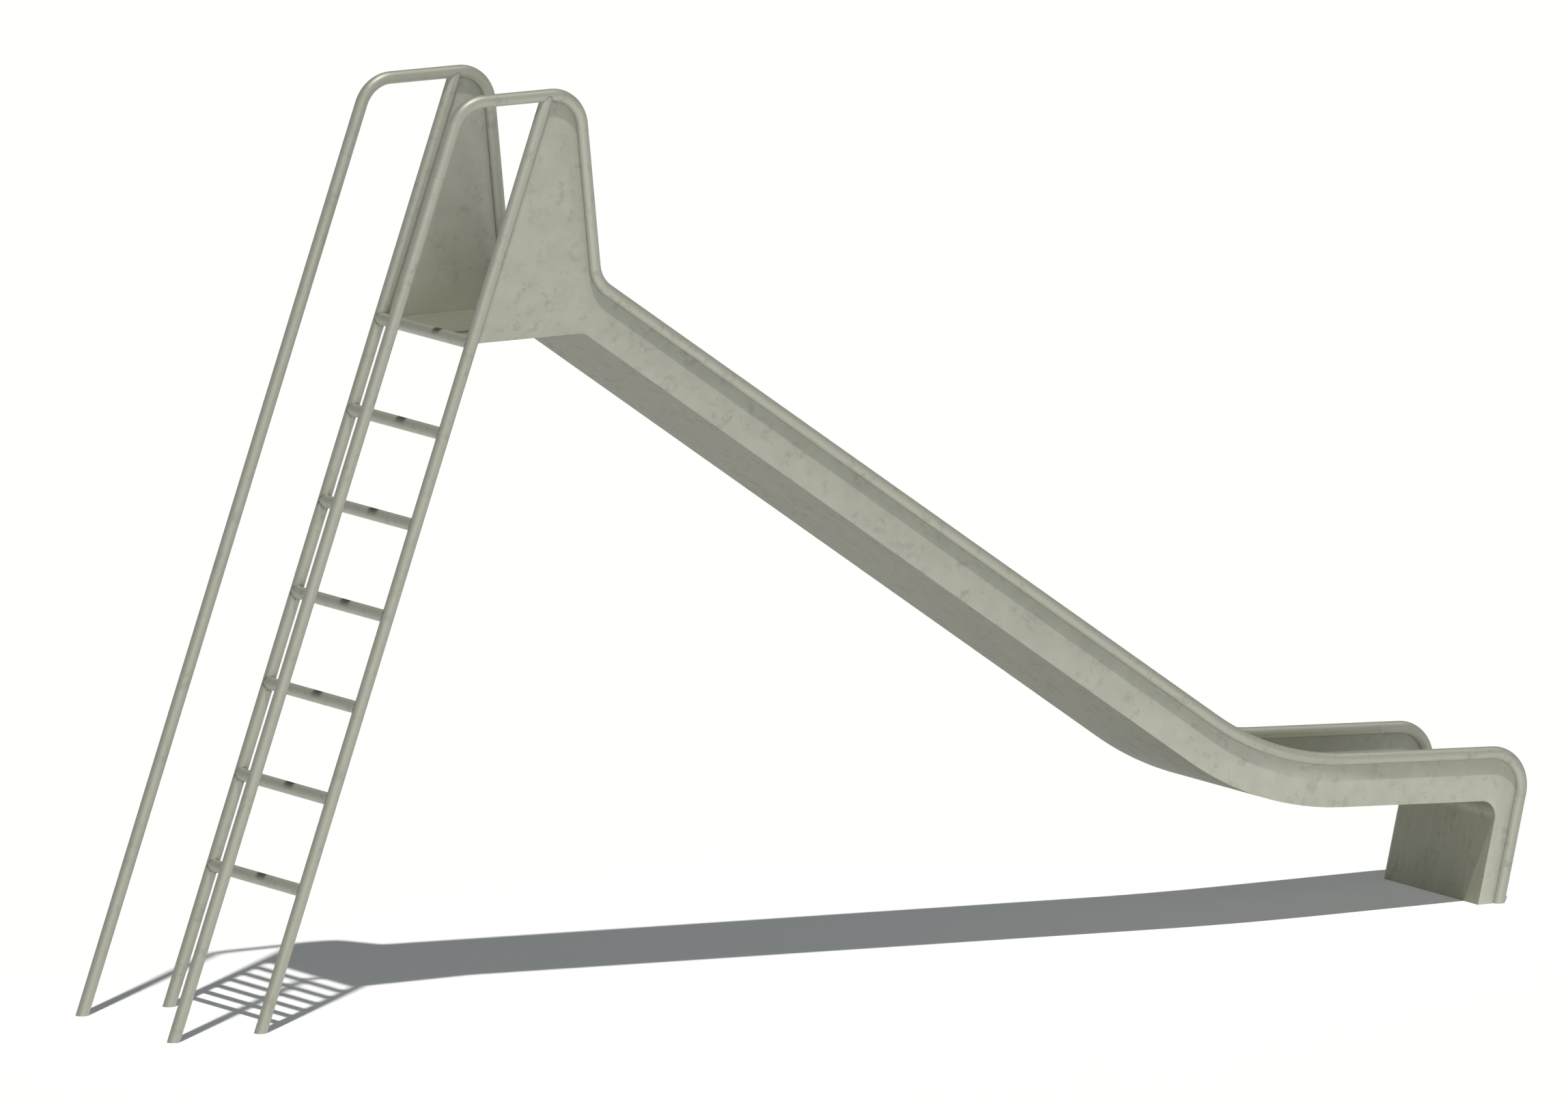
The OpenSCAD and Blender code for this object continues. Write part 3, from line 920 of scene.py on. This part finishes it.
# %% Weld finish
def weld_finish():
    material, tree, shader = new_material("weld_steel")
    lay = node(tree, "ShaderNodeAttribute", attribute_name="lay").outputs["Vector"]
    place = node(tree, "ShaderNodeTexCoord").outputs["Object"]
    ripple = node(tree, "ShaderNodeTexWave", {
        "Vector": lay, "Scale": 95.0, "Distortion": 1.5, "Detail": 1.0,
    }, bands_direction="Z")
    spatter = node(tree, "ShaderNodeTexNoise", {"Vector": place, "Scale": 420.0, "Detail": 3.0})
    heat = node(tree, "ShaderNodeTexNoise", {"Vector": place, "Scale": 22.0, "Detail": 2.0})
    tint = remap(tree, heat.outputs["Fac"], 0.35, 0.65)
    colour = mix(tree, tint, (0.32, 0.315, 0.265, 1), (0.25, 0.24, 0.21, 1))
    tree.links.new(colour, shader.inputs["Base Color"])
    roughness = remap(tree, spatter.outputs["Fac"], *MID_NOISE, 0.52, 0.68)
    tree.links.new(roughness, shader.inputs["Roughness"])
    shader.inputs["Metallic"].default_value = 0.7
    height = node(tree, "ShaderNodeMath", {
        0: ripple.outputs["Fac"], 1: spatter.outputs["Fac"],
    }, operation="ADD")
    relief = node(tree, "ShaderNodeBump", {
        "Height": height.outputs[0], "Strength": 0.5, "Distance": 0.0006,
    })
    tree.links.new(relief.outputs["Normal"], shader.inputs["Normal"])
    return material


weld_steel = weld_finish()

# %% [markdown]
# The sleeves and caps inside the tubes are turned from plain bar, with rings left by the lathe.

# %% Turned finish
def turned_finish():
    material, tree, shader = new_material("turned_steel")
    place = node(tree, "ShaderNodeTexCoord").outputs["Object"]
    rings = node(tree, "ShaderNodeTexNoise", {
        "Vector": scaled(tree, place, (60.0, 60.0, 900.0)), "Scale": 1.0, "Detail": 2.0,
    })
    shade = remap(tree, rings.outputs["Fac"], *MID_NOISE)
    colour = mix(tree, shade, (0.42, 0.42, 0.40, 1), (0.34, 0.34, 0.32, 1))
    tree.links.new(colour, shader.inputs["Base Color"])
    roughness = remap(tree, rings.outputs["Fac"], *MID_NOISE, 0.3, 0.45)
    tree.links.new(roughness, shader.inputs["Roughness"])
    shader.inputs["Metallic"].default_value = 0.9
    relief = node(tree, "ShaderNodeBump", {
        "Height": rings.outputs["Fac"], "Strength": 0.15, "Distance": 0.0003,
    })
    tree.links.new(relief.outputs["Normal"], shader.inputs["Normal"])
    return material


turned_steel = turned_finish()

# %% Give each piece its finish
FINISHES = {"_tube": tube_steel, "_plate": cheek_steel, "_sheet": bed_steel, "_beads": weld_steel}

for name, piece in made_pieces.items():
    ending = next(ending for ending in FINISHES if name.endswith(ending))
    piece.data.materials.append(FINISHES[ending])
    if ending == "_tube":
        piece.data.materials.append(weld_steel)
    if ending == "_sheet":
        piece.data.materials.append(underside_shaded_steel)
for name in ("post_joint_sleeves", "ladder_foot_caps", "leg_foot_caps"):
    inner = frame["nodes"][name]
    inner.data.materials.clear()
    inner.data.materials.append(turned_steel)
print("finished", len(made_pieces), "pieces and the sleeves and caps")

# %% [markdown]
# ## Floor, light and camera
#
# The slide stands on a plain pale floor. The key light is as small as the sun, so the rails draw crisp
# strips of shadow on the cheeks. The rest is soft and comes from low down: the sky is brighter at the
# horizon than overhead, a wide second light comes from the camera's side and a little below level, and
# the floor glows a little and lets that light through. This isn't how daylight works. It stands in for
# the light that a large white studio floor sends back, and it adds little to the shadows on top of
# the rungs.

# %% Floor
FLOOR_HALF = 60.0
bm = bmesh.new()
bmesh.ops.create_grid(bm, x_segments=1, y_segments=1, size=FLOOR_HALF)
floor_mesh = bpy.data.meshes.new("floor")
bm.to_mesh(floor_mesh)
bm.free()
floor = bpy.data.objects.new("floor", floor_mesh)
scene.collection.objects.link(floor)
floor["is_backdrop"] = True

pale, _, pale_shader = new_material("pale_floor")
pale_shader.inputs["Base Color"].default_value = (0.94, 0.94, 0.94, 1)
pale_shader.inputs["Roughness"].default_value = 0.9
pale_shader.inputs["Specular IOR Level"].default_value = 0.1
pale_shader.inputs["Emission Color"].default_value = (0.90, 0.97, 1.0, 1)
pale_shader.inputs["Emission Strength"].default_value = 0.10
floor_mesh.materials.append(pale)

# %% Light
def sun(name, way, energy, angle, color):
    data = bpy.data.lights.new(name, "SUN")
    data.energy = energy
    data.angle = math.radians(angle)
    data.color = color
    light = bpy.data.objects.new(name, data)
    light.rotation_mode = "QUATERNION"
    light.rotation_quaternion = Vector(way).to_track_quat("-Z", "Y")
    scene.collection.objects.link(light)


sun("key", way=(-0.04, 0.264, -1.0), energy=2.95, angle=1.0, color=(1.0, 0.985, 0.95))
sun("bounce", way=(0.5, 0.8, 0.12), energy=1.25, angle=60.0, color=(1.0, 0.99, 0.97))
floor.visible_shadow = False

world = bpy.data.worlds.new("soft_sky")
world.use_nodes = True
scene.world = world
tree = world.node_tree
sky = tree.nodes["Background"]
sky.inputs["Color"].default_value = (0.86, 0.93, 1.0, 1)
sky_way = node(tree, "ShaderNodeTexCoord").outputs["Generated"]
sky_height = node(tree, "ShaderNodeSeparateXYZ", {"Vector": sky_way}).outputs["Z"]
tree.links.new(remap(tree, sky_height, 0.0, 0.7, 0.30, 0.04), sky.inputs["Strength"])
seen = node(tree, "ShaderNodeBackground", {"Color": (1, 1, 1, 1), "Strength": 1.0})
by_camera = node(tree, "ShaderNodeLightPath").outputs["Is Camera Ray"]
blend = node(tree, "ShaderNodeMixShader", {0: by_camera, 1: sky.outputs[0], 2: seen.outputs[0]})
tree.links.new(blend.outputs[0], tree.nodes["World Output"].inputs["Surface"])
scene.view_settings.view_transform = "Standard"

# %% Camera
AZIMUTH = math.radians(-31.25)
ELEVATION = math.radians(9.53)
FIELD_W = 5.271         # width of the view at the object
AIM_RIGHT = -0.073      # from the middle of the object to the middle of the view
AIM_UP = -0.1695

camera_data = bpy.data.cameras.new("camera")
camera_data.lens = 1200
camera_data.sensor_width = 36
distance = camera_data.lens / camera_data.sensor_width * FIELD_W
camera_data.clip_start = 1.0
camera_data.clip_end = 3 * distance

back = Vector((
    math.sin(AZIMUTH) * math.cos(ELEVATION),
    -math.cos(AZIMUTH) * math.cos(ELEVATION),
    math.sin(ELEVATION)))
turned = (-back).to_track_quat("-Z", "Y")
aim = (cad_low + cad_high) / 2 + turned @ Vector((AIM_RIGHT, AIM_UP, 0))
camera = bpy.data.objects.new("camera", camera_data)
camera.rotation_mode = "QUATERNION"
camera.rotation_quaternion = turned
camera.location = aim + distance * back
scene.collection.objects.link(camera)
scene.camera = camera
print(f"the camera is {distance:.0f} m away")

# %% Compare the sizes and finish
new_low, new_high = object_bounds()
grown = (new_high - new_low) - (cad_high - cad_low)
print("the box grew by", [round(1000 * size, 2) for size in grown], "mm")
